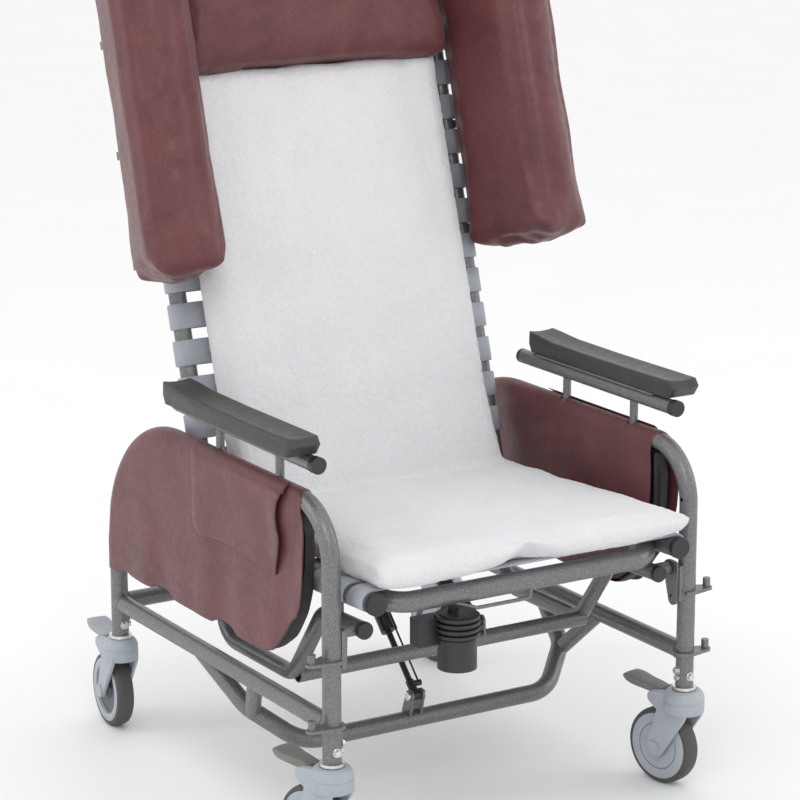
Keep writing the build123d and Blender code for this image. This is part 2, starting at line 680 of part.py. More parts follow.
def caster_fork(front):
    """Housing with two cheeks and the axle; a front caster has the larger cover."""
    radius = 33.0 if front else 29.0
    boss = 38.0 if front else 17.0
    head = z_rod(0, 0, 130, 166, radius)
    head = fillet(head.edges().filter_by(GeomType.CIRCLE).sort_by(Axis.Z)[-1], 9)
    cheeks = hull_of_circles([(CASTER_TRAIL, WHEEL_R, boss), (4, 138, radius - 6)])
    for side in (-1, 1):
        head += side_plate(cheeks, side * 18.5, side * 25.5)
        head += block(side * 13.5, side * 18.5, 14, 48, 141, 157)
    head += x_rod(-28, 28, CASTER_TRAIL, WHEEL_R, 9) - x_rod(-18.5, 18.5, CASTER_TRAIL, WHEEL_R, 30)
    head += x_rod(-20, 20, CASTER_TRAIL, WHEEL_R, 4)
    head += x_rod(-16, 16, 38, 149, 3)
    head -= block(-13.5, 13.5, 24, 60, 138, 170)
    head += x_rod(-16, 16, 38, 149, 3)
    head -= z_rod(0, 0, 135, 170, STEM_R + SHAFT_GAP)
    return head


def caster_tyre():
    """Tyre with rounded shoulders."""
    ring = x_rod(-WHEEL_HALF, WHEEL_HALF, CASTER_TRAIL, WHEEL_R, WHEEL_R)
    ring = fillet(ring.edges().filter_by(GeomType.CIRCLE), 7)
    return ring - x_rod(-30, 30, CASTER_TRAIL, WHEEL_R, 47)


def caster_hub():
    """Wheel centre with dished faces."""
    hub = x_rod(-13.5, 13.5, CASTER_TRAIL, WHEEL_R, 47)
    for side in (-1, 1):
        dish = x_rod(side * 10, side * 20, CASTER_TRAIL, WHEEL_R, 41)
        hub -= dish - x_rod(side * 5, side * 25, CASTER_TRAIL, WHEEL_R, 14)
    hub += x_rod(-17, 17, CASTER_TRAIL, WHEEL_R, 12)
    return hub - x_rod(-30, 30, CASTER_TRAIL, WHEEL_R, 4 + SHAFT_GAP)


def caster_pedal():
    """Brake pedal on its cross pin."""
    hub = x_rod(-12.8, 12.8, 38, 149, 8)
    arm = side_plate(make_face(Polyline((38, 142), (62, 150), (112, 160), (117, 166), (112, 169),
                                        (60, 163), (38, 157), close=True)), -12.8, 12.8)
    paddle = side_plate(make_face(Polyline((66, 151.5), (112, 160.5), (117, 166), (112, 169.5),
                                           (66, 164), close=True)), -21, 21)
    return (hub + arm + paddle) - x_rod(-20, 20, 38, 149, 3 + SHAFT_GAP)


# ---- export ----
def save(name, shape):
    """Write one node, moved to the chair's own origin."""
    place = Pos(0, ORIGIN_SHIFT_Y, 0)
    if isinstance(shape, list):
        node = Compound(children=[place * piece for piece in shape])
    else:
        node = place * shape
    export_step(node, f"parts/{name}.step")


def save_pair(name, shape):
    """Write a +X piece as NAME_right and its mirror image as NAME_left."""
    right, left = both_sides(shape) if not isinstance(shape, list) else (
        shape, [mirror(piece, about=Plane.YZ) for piece in shape])
    save(f"{name}_right", right)
    save(f"{name}_left", left)


def main():
    os.makedirs("parts", exist_ok=True)
    save_pair("side_frame", side_frame())
    save("low_rails", both_sides(side_rail()) + [rear_cross_tube()])
    save("stretcher", stretcher())
    save("hanger_brackets", hanger_brackets())
    save("frame_brackets", frame_brackets())
    save("frame_bolts", frame_bolts())
    save("caster_stems", caster_stems())
    save_pair("side_cover", side_cover())
    save("panel_boards", both_sides(panel_board()))
    save_pair("arm_tube", arm_tube())
    save_pair("arm_pad", arm_pad())
    save_pair("arm_caps", arm_caps())
    save("seat_tubes", seat_tubes())
    save("seat_cross_tubes", seat_cross_tubes())
    save("cradle_tubes", both_sides(cradle_tube()))
    save("cradle_cross_tubes", cradle_cross_tubes())
    save("seat_brackets", seat_brackets())
    save("hinge_pins", hinge_pins())
    save("seat_caps", seat_caps())
    save("seat_straps", seat_straps())
    save("seat_pad", seat_pad())
    save("tilt_buffer", tilt_buffer())
    save("hanger_rod", hanger_rod())
    save("back_tubes", both_sides(back_tube()))
    save("back_cross_tubes", back_cross_tubes())
    save("back_straps", back_straps())
    save("back_pad", back_pad())
    save("headrest", headrest())
    save_pair("wing", wing())
    save("wing_brackets", wing_brackets())
    save("push_handle", push_handle())
    save("push_grip", push_grip())
    tilt = (TILT_SPRING_X, TILT_SPRING_LOW, TILT_SPRING_TOP)
    recline = (RECLINE_SPRING_X, RECLINE_SPRING_LOW, RECLINE_SPRING_TOP)
    save("tilt_spring_rod", tilt_spring_rod())
    reverse = (TILT_SPRING_X, TILT_SPRING_TOP, TILT_SPRING_LOW)
    save("tilt_spring_cylinder", spring_cylinder(*reverse, 5.0, 8.3, 158))
    save("release_cable", tilt_cable(15.0, 25.05, 170, 1.6))
    save("cable_conduit", tilt_cable(15.0, 120, 236, 3.0, bore=1.75))
    save("recline_spring_cylinder", spring_cylinder(*recline, 4.0, 4 + SHAFT_GAP, 190))
    back_end = (RECLINE_SPRING_X, RECLINE_SPRING_TOP, RECLINE_SPRING_LOW)
    save("recline_spring_rod", spring_rod(*back_end, 4.0, 9.5, 165))
    for name, (x, y) in LEG_PLACES.items():
        place = Pos(x, y, 0) * Rot(0, 0, CASTER_TURNS[name])
        save(f"fork_{name}", place * caster_fork(name.startswith("front")))
        save(f"tyre_{name}", place * caster_tyre())
        save(f"hub_{name}", place * caster_hub())
        save(f"pedal_{name}", place * caster_pedal())


main()
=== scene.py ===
import json
from math import acos, cos, pi, radians, sin, sqrt

import bmesh
import bpy
from mathutils import Matrix, Vector, noise


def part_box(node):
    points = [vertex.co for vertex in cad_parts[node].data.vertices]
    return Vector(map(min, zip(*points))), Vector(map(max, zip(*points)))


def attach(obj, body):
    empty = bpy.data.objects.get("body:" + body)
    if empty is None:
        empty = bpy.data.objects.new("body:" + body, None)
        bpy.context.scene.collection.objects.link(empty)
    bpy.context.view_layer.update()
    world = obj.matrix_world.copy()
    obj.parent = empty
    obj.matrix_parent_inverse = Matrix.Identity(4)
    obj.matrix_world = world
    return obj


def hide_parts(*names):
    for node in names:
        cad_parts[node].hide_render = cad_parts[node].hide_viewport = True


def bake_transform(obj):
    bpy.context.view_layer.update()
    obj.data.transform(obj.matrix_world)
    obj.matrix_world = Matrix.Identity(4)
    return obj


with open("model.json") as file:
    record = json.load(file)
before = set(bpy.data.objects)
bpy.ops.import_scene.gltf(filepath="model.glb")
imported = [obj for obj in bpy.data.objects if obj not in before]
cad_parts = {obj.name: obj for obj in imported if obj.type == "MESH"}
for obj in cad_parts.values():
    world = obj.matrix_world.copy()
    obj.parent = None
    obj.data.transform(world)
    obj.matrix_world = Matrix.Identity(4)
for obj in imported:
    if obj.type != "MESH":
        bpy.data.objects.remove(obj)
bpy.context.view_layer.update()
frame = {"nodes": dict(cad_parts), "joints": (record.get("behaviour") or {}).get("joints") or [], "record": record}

# The chair faces -Y. Shapes below are in millimetres: either in the leg frame, whose Y = 0
# lies midway between the front and rear legs, or in the back frame (x, t, s), where s runs
# up the back tubes from the recline hinge and t behind them.
MM = 0.001
JOINTS = {joint["name"]: joint for joint in frame["joints"]}
NODES = frame["nodes"]
HINGE = Vector(JOINTS["back_recline"]["pos_m"])
LEAN = radians(16.3)

stem_low, stem_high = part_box("caster_stems")
LEG_SPACE = Matrix.Translation((0, (stem_low.y + stem_high.y) / 2, 0)) @ Matrix.Scale(MM, 4)
BACK_SPACE = Matrix.Translation(HINGE) @ Matrix.Rotation(-LEAN, 4, "X") @ Matrix.Scale(MM, 4)

RAIL_X = 324.0              # centre plane of a side hoop
RAIL_R = 14.3
RAIL_Z = 556.0
LEG_Y = 351.0
REAR_BEND = 220.0
FRONT_BEND = 85.0
SEAT_X = 274.0
SEAT_R = 15.9
BACK_R = 14.3
SEAT_FRONT = (-390.0, 418.7)
SEAT_REAR = (86.0, 396.6)
SEAT_SLOPE = (SEAT_REAR[1] - SEAT_FRONT[1]) / (SEAT_REAR[0] - SEAT_FRONT[0])
STRAP_OUT = 5.2
STRAP_WIDTH = 41.0
BACK_STRAPS = 13
BACK_STRAP_FOOT = 72.0
BACK_STRAP_PITCH = 59.0
SEAT_STRAPS = 8
SEAT_STRAP_PITCH = 56.0
ARM_POSTS = (-202.0, -15.0)     # Y of the armrest posts
CASTER_TRAIL = 40.0
WHEEL_R = 62.5


# ---- shaping ----
def smoothstep(low, high, value):
    """0 below low, 1 above high, and a smooth rise between."""
    share = min(max((value - low) / (high - low), 0.0), 1.0)
    return share * share * (3 - 2 * share)


def along(points, value):
    """Height at value on the straight runs between (place, height) points in rising order."""
    if value <= points[0][0]:
        return points[0][1]
    for (x0, z0), (x1, z1) in zip(points, points[1:]):
        if value <= x1:
            return z0 + (z1 - z0) * (value - x0) / (x1 - x0)
    return points[-1][1]


def face_of(bm, corners):
    """One flat face."""
    return bm.faces.new([bm.verts.new(corner) for corner in corners])


def push_out(bm, face, offset):
    """Extrude one face into a closed solid."""
    made = bmesh.ops.extrude_face_region(bm, geom=[face])["geom"]
    moved = [item for item in made if isinstance(item, bmesh.types.BMVert)]
    bmesh.ops.translate(bm, vec=offset, verts=moved)
    bmesh.ops.recalc_face_normals(bm, faces=bm.faces[:])
    return moved


def slab(bm, profile, x0, x1):
    """A (y, z) profile extruded between two X planes."""
    face = face_of(bm, [(x0, y, z) for y, z in profile])
    push_out(bm, face, (x1 - x0, 0, 0))


def round_edges(bm, width, segments=4, chosen=None):
    """Bevel the given edges, or every edge of the shape."""
    bmesh.ops.bevel(bm, geom=chosen or bm.edges[:], offset=width, offset_type="OFFSET",
                    affect="EDGES", segments=segments, profile=0.5, material=-1,
                    clamp_overlap=True)


def turned(bm, profile, centre, axis, across, steps=48):
    """A closed (radius, along) profile turned round an axis through centre."""
    axis, across, centre = Vector(axis).normalized(), Vector(across).normalized(), Vector(centre)
    verts = [bm.verts.new(centre + across * r + axis * a) for r, a in profile]
    pairs = zip(verts, verts[1:] + verts[:1])
    edges = [bm.edges.new(pair) for pair in pairs]
    bmesh.ops.spin(bm, geom=verts + edges, cent=centre, axis=axis, dvec=(0, 0, 0),
                   angle=2 * pi, steps=steps, use_merge=True)
    bmesh.ops.remove_doubles(bm, verts=bm.verts[:], dist=0.001)
    bmesh.ops.recalc_face_normals(bm, faces=bm.faces[:])


def disc_profile(radius, low, high, edge):
    """Half section of a solid disc with rounded rims, from its axis outwards."""
    return [(0.001, low), (radius - edge, low), (radius - edge * 0.3, low + edge * 0.3),
            (radius, low + edge), (radius, high - edge), (radius - edge * 0.3, high - edge * 0.3),
            (radius - edge, high), (0.001, high)]


def finish_piece(name, bm, space, material, body, nodes=(), sharp=38.0):
    """Write a shape out in the chair's frame, in place, and let it ride on its body."""
    mesh = bpy.data.meshes.new(name)
    bm.to_mesh(mesh)
    bm.free()
    mesh.transform(space)
    for polygon in mesh.polygons:
        polygon.use_smooth = True
    if sharp:
        mesh.set_sharp_from_angle(angle=radians(sharp))
    piece = bpy.data.objects.new(name, mesh)
    bpy.context.scene.collection.objects.link(piece)
    piece.data.materials.append(material)
    if body:
        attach(piece, body)
    if nodes:
        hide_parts(*nodes)
    return piece


def add_modifier(piece, kind, **settings):
    """Add a modifier with the given settings."""
    modifier = piece.modifiers.new(kind.title(), kind)
    for key, value in settings.items():
        setattr(modifier, key, value)
    return modifier


def refine(piece, levels=1):
    """Subdivision surface with equal viewport and render levels."""
    add_modifier(piece, "SUBSURF", levels=levels, render_levels=levels)


# ---- materials ----
class Finish:
    """One procedural material, built up on Object coordinates."""

    def __init__(self, name, colour, roughness, metallic=0.0):
        self.material = bpy.data.materials.new(name)
        self.material.use_nodes = True
        self.nodes = self.material.node_tree.nodes
        self.links = self.material.node_tree.links
        self.shader = self.nodes["Principled BSDF"]
        self.coords = self.nodes.new("ShaderNodeTexCoord").outputs["Object"]
        self.set("Base Color", (*colour, 1))
        self.set("Roughness", roughness)
        self.set("Metallic", metallic)
        self.height = None

    def set(self, socket, value):
        self.shader.inputs[socket].default_value = value
        return self

    def noise(self, scale, detail=4.0, roughness=0.55, stretch=None, distortion=0.0):
        node = self.nodes.new("ShaderNodeTexNoise")
        node.inputs["Scale"].default_value = scale
        node.inputs["Detail"].default_value = detail
        node.inputs["Roughness"].default_value = roughness
        node.inputs["Distortion"].default_value = distortion
        self.links.new(self.stretched(stretch), node.inputs["Vector"])
        return node.outputs["Fac"]

    def cells(self, scale, feature="F1", smooth=0.6):
        node = self.nodes.new("ShaderNodeTexVoronoi")
        node.feature = feature
        node.inputs["Scale"].default_value = scale
        if feature == "SMOOTH_F1":
            node.inputs["Smoothness"].default_value = smooth
        self.links.new(self.coords, node.inputs["Vector"])
        return node.outputs["Distance"]

    def stretched(self, stretch):
        if not stretch:
            return self.coords
        node = self.nodes.new("ShaderNodeMapping")
        node.inputs["Scale"].default_value = stretch
        self.links.new(self.coords, node.inputs["Vector"])
        return node.outputs["Vector"]

    def ramp(self, factor, *stops):
        node = self.nodes.new("ShaderNodeValToRGB")
        ramp = node.color_ramp
        while len(ramp.elements) < len(stops):
            ramp.elements.new(0.5)
        for element, (place, colour) in zip(ramp.elements, stops):
            element.position = place
            element.color = (*colour, 1) if isinstance(colour, tuple) else (colour,) * 3 + (1,)
        self.links.new(factor, node.inputs["Fac"])
        return node.outputs["Color"]

    def mix(self, factor, first, second, blend="MIX"):
        node = self.nodes.new("ShaderNodeMix")
        node.data_type = "RGBA"
        node.blend_type = blend
        for socket, value in (("Factor_Float", factor), ("A_Color", first), ("B_Color", second)):
            target = next(i for i in node.inputs if i.identifier == socket)
            if hasattr(value, "links"):
                self.links.new(value, target)
            else:
                target.default_value = value
        return next(o for o in node.outputs if o.identifier == "Result_Color")

    def to(self, output, socket):
        self.links.new(output, self.shader.inputs[socket])
        return self

    def bump(self, height, strength, distance):
        node = self.nodes.new("ShaderNodeBump")
        node.inputs["Strength"].default_value = strength
        node.inputs["Distance"].default_value = distance
        self.links.new(height, node.inputs["Height"])
        if self.height:
            self.links.new(self.height, node.inputs["Normal"])
        self.height = node.outputs["Normal"]
        self.links.new(self.height, self.shader.inputs["Normal"])
        return self


def hammertone_paint():
    """Grey paint that dries in small shallow cells with a metallic sparkle."""
    finish = Finish("hammertone_paint", (0.2, 0.2, 0.205), 0.33, metallic=0.45)
    cells = finish.cells(330, "SMOOTH_F1")
    specks = finish.noise(900, detail=2)
    tone = finish.ramp(cells, (0.1, (0.27, 0.275, 0.285)), (0.55, (0.19, 0.19, 0.197)))
    dark = finish.ramp(specks, (0.35, 0.72), (0.6, 1.0))
    finish.to(finish.mix(1.0, tone, dark, "MULTIPLY"), "Base Color")
    finish.to(finish.ramp(finish.noise(60), (0.35, 0.28), (0.7, 0.42)), "Roughness")
    finish.bump(cells, 0.35, 0.0008)
    finish.bump(specks, 0.12, 0.0003)
    return finish.material


def bright_zinc():
    """Bright zinc plate with a fine brushed grain and dull patches."""
    finish = Finish("bright_zinc", (0.72, 0.72, 0.7), 0.25, metallic=1.0)
    patches = finish.noise(120, detail=5)
    finish.to(finish.ramp(patches, (0.3, (0.58, 0.58, 0.56)), (0.7, (0.8, 0.8, 0.79))), "Base Color")
    finish.to(finish.ramp(patches, (0.3, 0.36), (0.7, 0.2)), "Roughness")
    finish.bump(finish.noise(1500, detail=2, stretch=(1, 1, 0.2)), 0.12, 0.0002)
    return finish.material


def maroon_vinyl(name, light=1.0):
    """Grained maroon vinyl, mottled at random with lighter patches of painted sheen over its own darker tone."""
    base = [Vector(tone) * light for tone in ((0.1, 0.02, 0.024), (0.15, 0.038, 0.042))]
    finish = Finish(name, tuple(base[0]), 0.5)
    # painted sheen: the lighter patches take the colour of lit vinyl and are spread at random, not worn in
    painted_sheen_patches = finish.noise(14, detail=6, roughness=0.6, distortion=0.4)
    tone = finish.ramp(painted_sheen_patches, (0.32, tuple(base[0])), (0.68, tuple(base[1])))
    grain = finish.noise(420, detail=5, roughness=0.7)
    flecks = finish.ramp(grain, (0.38, 0.7), (0.55, 1.0), (0.7, 1.28))
    finish.to(finish.mix(1.0, tone, flecks, "MULTIPLY"), "Base Color")
    finish.to(finish.ramp(finish.noise(90), (0.3, 0.42), (0.7, 0.58)), "Roughness")
    pores = finish.cells(1100, "SMOOTH_F1", 0.4)
    finish.bump(pores, 0.35, 0.00035)
    finish.bump(grain, 0.22, 0.0007)
    finish.set("Sheen Weight", 0.08).set("Coat Weight", 0.06)
    return finish.material


def white_towelling():
    """Looped cotton pile: small tufts with soft shadow between them."""
    finish = Finish("white_towelling", (0.8, 0.8, 0.815), 0.95)
    loops = finish.cells(620, "F1")
    nap = finish.noise(260, detail=6, roughness=0.7)
    drift = finish.noise(9, detail=4)
    tone = finish.ramp(loops, (0.0, (0.86, 0.86, 0.87)), (0.75, (0.72, 0.72, 0.74)))
    worn = finish.ramp(drift, (0.3, 0.95), (0.7, 1.0))
    finish.to(finish.mix(1.0, tone, worn, "MULTIPLY"), "Base Color")
    finish.bump(nap, 0.55, 0.0022)
    finish.bump(loops, 0.5, 0.0012)
    finish.set("Sheen Weight", 0.35).set("Sheen Roughness", 0.5)
    finish.set("Subsurface Weight", 0.12).set("Subsurface Scale", 0.004)
    return finish.material


def soft_strap():
    """Smooth grey vinyl strap with a slight bloom."""
    finish = Finish("grey_strap_vinyl", (0.36, 0.375, 0.42), 0.48)
    bloom = finish.noise(30, detail=5)
    finish.to(finish.ramp(bloom, (0.3, (0.31, 0.325, 0.37)), (0.7, (0.4, 0.415, 0.46))), "Base Color")
    finish.to(finish.ramp(bloom, (0.3, 0.42), (0.7, 0.55)), "Roughness")
    finish.bump(finish.noise(700, detail=3), 0.15, 0.0004)
    return finish.material


def moulded(name, colour, roughness, grain=900, depth=0.0004, lift=1.25):
    """Moulded plastic or rubber with a fine texture and slight wear."""
    finish = Finish(name, colour, roughness)
    wear = finish.noise(22, detail=6, roughness=0.65)
    light = tuple(min(c * lift, 1.0) for c in colour)
    finish.to(finish.ramp(wear, (0.35, colour), (0.75, light)), "Base Color")
    finish.to(finish.ramp(finish.noise(70), (0.3, roughness - 0.06), (0.7, roughness + 0.08)), "Roughness")
    finish.bump(finish.noise(grain, detail=3), 0.25, depth)
    return finish.material


PAINT = hammertone_paint()
ZINC = bright_zinc()
VINYL = maroon_vinyl("maroon_vinyl")
TERRY = white_towelling()
STRAP = soft_strap()
FOAM = moulded("arm_foam_skin", (0.036, 0.037, 0.034), 0.42, grain=1300, depth=0.0003)
BLACK = moulded("black_plastic", (0.022, 0.022, 0.023), 0.38)
BOARD = moulded("black_board_face", (0.018, 0.018, 0.018), 0.6, grain=500)
SPRING = moulded("black_spring_lacquer", (0.02, 0.02, 0.021), 0.28, grain=300, depth=0.0002)
CASTER = moulded("caster_grey", (0.36, 0.395, 0.43), 0.42, grain=1500, depth=0.0002, lift=1.1)
TREAD = moulded("tyre_grey", (0.062, 0.062, 0.064), 0.62, grain=800)
HUB_DARK = moulded("hub_grey", (0.1, 0.1, 0.115), 0.45)
PEDAL_DARK = moulded("pedal_warm_grey", (0.17, 0.165, 0.155), 0.5)
PEDAL_LIGHT = moulded("pedal_blue_grey", (0.33, 0.355, 0.385), 0.45, lift=1.1)

SLOT_FINISH = {
    "frame_paint": PAINT, "zinc": ZINC, "maroon_vinyl": VINYL, "black_board": BOARD,
    "arm_foam": FOAM, "black_plastic": BLACK, "grey_strap": STRAP, "towelling": TERRY,
    "spring_rod": SPRING, "spring_black": SPRING, "caster_grey": CASTER, "tyre_grey": TREAD,
    "hub_grey": HUB_DARK, "pedal_dark": PEDAL_DARK, "pedal_light": PEDAL_LIGHT,
}


def finish_cad_nodes():
    """Give every CAD node the finish of its slot."""
    for entry in frame["record"]["subparts"]:
        node = NODES[entry["node"]]
        node.data.materials.clear()
        node.data.materials.append(SLOT_FINISH[entry["material_slot"]])


# ---- camera, light and floor ----
def make_camera():
    """Camera at the viewing angle."""
    camera = bpy.data.objects.new("camera", bpy.data.cameras.new("camera"))
    bpy.context.scene.collection.objects.link(camera)
    camera.data.lens = 132.86
    camera.data.sensor_width = 36.0
    camera.data.clip_end = 60.0
    camera.location = (-2.3891, -3.9174, 1.7414)
    camera.rotation_euler = (radians(90 - 13.93), 0, radians(-31.58))
    bpy.context.scene.camera = camera


def area_light(name, place, target, size, power, tint=(1, 1, 1)):
    """One soft box aimed at a point."""
    data = bpy.data.lights.new(name, "AREA")
    data.shape = "RECTANGLE"
    data.size, data.size_y = size
    data.energy = power
    data.color = tint
    lamp = bpy.data.objects.new(name, data)
    bpy.context.scene.collection.objects.link(lamp)
    lamp.location = place
    aim = Vector(target) - Vector(place)
    lamp.rotation_euler = aim.to_track_quat("-Z", "Y").to_euler()


def make_studio():
    """White surround, soft boxes and a pale floor."""
    scene = bpy.context.scene
    scene.view_settings.view_transform = "Standard"
    world = bpy.data.worlds.new("studio")
    scene.world = world
    world.use_nodes = True
    world.node_tree.nodes["Background"].inputs["Color"].default_value = (1, 1, 1, 1)
    world.node_tree.nodes["Background"].inputs["Strength"].default_value = 1.0
    middle = (0, 0, 0.6)
    area_light("key", (-1.6, -2.6, 3.2), middle, (1.6, 1.6), 20)
    area_light("side", (3.4, -1.6, 1.9), middle, (1.2, 2.2), 14)
    area_light("left_rim", (-3.2, 1.4, 2.2), middle, (1.0, 2.0), 14)
    area_light("top", (0, 0.4, 4.2), middle, (2.5, 2.5), 8)
    bm = bmesh.new()
    bmesh.ops.create_grid(bm, x_segments=1, y_segments=1, size=30)
    mesh = bpy.data.meshes.new("floor")
    bm.to_mesh(mesh)
    bm.free()
    floor = bpy.data.objects.new("floor", mesh)
    scene.collection.objects.link(floor)
    finish = Finish("pale_floor", (0.93, 0.93, 0.93), 0.7)
    finish.to(finish.ramp(finish.noise(3), (0.3, 0.925), (0.7, 0.94)), "Base Color")
    mesh.materials.append(finish.material)


# ---- padded pieces ----
def inflate(piece, voxel, pressure, reach, frames=20):
    """Remesh a rough form finely and blow it up as cloth, moving no point beyond reach."""
    context = bpy.context
    add_modifier(piece, "REMESH", mode="VOXEL", voxel_size=voxel, use_smooth_shade=True)
    bake(piece)
    start = [vert.co.copy() for vert in piece.data.vertices]
    cloth = piece.modifiers.new("Cloth", "CLOTH")
    cloth.settings.use_pressure = True
    cloth.settings.uniform_pressure_force = pressure
    cloth.settings.quality = 4
    cloth.settings.mass = 0.25
    cloth.settings.tension_stiffness = 18
    cloth.settings.compression_stiffness = 18
    cloth.settings.bending_stiffness = 0.8
    cloth.settings.effector_weights.gravity = 0
    cloth.point_cache.frame_start = 1
    cloth.point_cache.frame_end = frames
    for number in range(1, frames + 1):
        context.scene.frame_set(number)
    bake(piece)
    for vert, first in zip(piece.data.vertices, start):
        shift = vert.co - first
        if shift.length > reach:
            vert.co = first + shift * (reach / shift.length)
    context.scene.frame_set(1)


def bake(piece):
    """Apply every modifier on a piece."""
    depsgraph = bpy.context.evaluated_depsgraph_get()
    depsgraph.update()
    made = bpy.data.meshes.new_from_object(piece.evaluated_get(depsgraph))
    materials = [slot.material for slot in piece.material_slots]
    piece.modifiers.clear()
    piece.data = made
    made.materials.clear()
    for material in materials:
        made.materials.append(material)
    for polygon in made.polygons:
        polygon.use_smooth = True


def relax(piece, times, factor=0.5):
    """Even out the surface."""
    bm = bmesh.new()
    bm.from_mesh(piece.data)
    for _ in range(times):
        bmesh.ops.smooth_vert(bm, verts=bm.verts[:], factor=factor, use_axis_x=True,
                              use_axis_y=True, use_axis_z=True)
    bm.to_mesh(piece.data)
    bm.free()


def sculpt(piece, space, move):
    """Move every point by what move(point, normal) gives, in the given space."""
    inverse = space.inverted()
    turn = space.to_3x3().normalized().inverted()
    normals = [vert.normal.copy() for vert in piece.data.vertices]
    for vert, normal in zip(piece.data.vertices, normals):
        point = inverse @ vert.co
        vert.co = space @ (point + move(point, turn @ normal))
    piece.data.update()


def seat_line(y):
    """Height of the seat tube axis at y."""
    return SEAT_FRONT[1] + SEAT_SLOPE * (y - SEAT_FRONT[0])


def back_point(s, t):
    """(y, z) in the leg frame of a point of the back frame."""
    point = LEG_SPACE.inverted() @ BACK_SPACE @ Vector((0, t, s))
    return point.y, point.z


SEAT_PAD_HALF = 280
BACK_PAD_SIDES = (-258, 240)    # X of its left and right sides
PAD_VOXEL = 0.0062


def terry_pad():
    """One towelling pad that runs from the front lip up to the headrest."""
    bm = bmesh.new()
    lift = SEAT_R + STRAP_OUT + 3
    seat = [(-424, seat_line(-424) + lift + 6), (-390, seat_line(-390) + lift),
            (92, seat_line(92) + lift + 2), (86, 452), (-300, 476), (-412, 480), (-430, 470)]
    slab(bm, seat, -SEAT_PAD_HALF, SEAT_PAD_HALF)
    corner_taper(bm)
    back = [back_point(16, -30), back_point(716, -26), back_point(717, -68), back_point(400, -74),
            back_point(150, -76), back_point(70, -84), back_point(8, -88)]
    slab(bm, back, *BACK_PAD_SIDES)
    piece = finish_piece("terry_pad", bm, LEG_SPACE, TERRY, None, sharp=None)
    inflate(piece, PAD_VOXEL, pressure=3.5, reach=0.009)
    relax(piece, 6)
    sculpt(piece, LEG_SPACE, pad_folds)
    refine(piece)
    bake(piece)
    sculpt(piece, LEG_SPACE, pile)
    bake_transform(piece)
    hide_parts("seat_pad", "back_pad")


def corner_taper(bm):
    """Narrow the rear of the seat form a little."""
    for vert in bm.verts:
        if vert.co.y > 0:
            vert.co.x *= 0.94


LIP_LOBES = [(-286, 8), (-250, 2), (-209, -4), (-129, 0), (-67, 9), (-29, 20), (-15, 22), (5, 14),
             (49, 2), (106, 0), (178, 3), (264, 10), (286, 22)]


def pad_folds(point, normal):
    """Lobes of the front lip, the notch between them and soft folds down the back."""
    shift = Vector((0, 0, 0))
    front = 1 - smoothstep(-425, -340, point.y)
    if front > 0 and point.z < 500:
        low = 1 - smoothstep(450, 486, point.z)
        shift.z += front * low * along(LIP_LOBES, point.x)
        notch = bell(point.x + 15, 26) * front
        shift.z -= 5 * notch * (1 - low)
        shift.y += 12 * notch
        shift.y += front * (3 * sin(point.x / 46) - 2)
    height = (point.z - 500) / 600
    if height > 0:
        wave = noise.noise(Vector((point.x / 42, point.z / 300, 2.0)))
        shift += normal * wave * 3.2 * min(height * 4, 1)
    else:
        wave = noise.noise(Vector((point.x / 80, point.y / 70, 7.0)))
        shift += normal * wave * 2.6
    return shift


def bell(value, width):
    """1 at 0, falling to nothing beyond about twice the width."""
    return 2.718 ** (-(value / width) ** 2)


def pile(point, normal):
    """Uneven nap of the towelling."""
    coarse = noise.noise(point / 9.0) * 0.7
    fine = noise.noise(point / 3.4 + Vector((40, 3, 9))) * 0.75
    return normal * (coarse + fine)


WING_CORNERS = ((304, -222), (414, -186), (359, 6), (249, -30))
WING_SHIFT = {"left": (17, 0, 10), "right": (4, 0, 4)}
WING_FOOT = 372.0
WING_HEAD = 935.0


def wings():
    """Tall side bolsters with a gathered foot."""
    for name, side in (("left", -1), ("right", 1)):
        bm = bmesh.new()
        face = face_of(bm, [(side * x, t, WING_FOOT + 4) for x, t in WING_CORNERS])
        push_out(bm, face, (0, 0, WING_HEAD - WING_FOOT - 8))
        middle = sum((Vector((side * x, t, 0)) for x, t in WING_CORNERS), Vector()) / 4
        for vert in bm.verts:
            flat = Vector((vert.co.x, vert.co.y, 0))
            vert.co.x, vert.co.y = (middle + (flat - middle) * 0.95).xy
        bmesh.ops.translate(bm, vec=WING_SHIFT[name], verts=bm.verts[:])
        round_edges(bm, 12, 3)
        piece = finish_piece(f"wing_cushion_{name}", bm, BACK_SPACE, VINYL, "back",
                             [f"wing_{name}"], sharp=None)
        inflate(piece, 0.0058, pressure=4.0, reach=0.008)
        relax(piece, 2)
        sculpt(piece, BACK_SPACE, wing_foot)
        refine(piece)
        bake(piece)


def wing_foot(point, normal):
    """Gathers near the closed foot, and the slow unevenness of stuffed vinyl."""
    rise = point.z - WING_FOOT
    pull = 1 - smoothstep(0, 60, rise)
    gather = noise.noise(Vector((point.x / 22, point.y / 22, 0.3))) * 5 * pull
    slow = noise.noise(point / 85) * 2.4
    return normal * (gather + slow)


HEADREST_HALF = 242


def headrest_cushion():
    """Broad vinyl cushion above the towelling."""
    bm = bmesh.new()
    rear = -(BACK_R + STRAP_OUT + 4)
    profile = [(698, rear), (918, rear), (918, -80), (875, -96), (745, -106), (704, -98)]
    face = face_of(bm, [(-HEADREST_HALF, t, s) for s, t in profile])
    push_out(bm, face, (2 * HEADREST_HALF, 0, 0))
    round_edges(bm, 10, 3)
    piece = finish_piece("headrest_cushion", bm, BACK_SPACE, VINYL, "back",
                         ["headrest"], sharp=None)
    inflate(piece, 0.006, pressure=4.0, reach=0.008)
    relax(piece, 2)
    sculpt(piece, BACK_SPACE, lambda point, normal: normal * noise.noise(point / 90) * 3)
    refine(piece)
    bake(piece)


ARM_PAD_FOOT = 631.8        # Z of the pads' flat underside


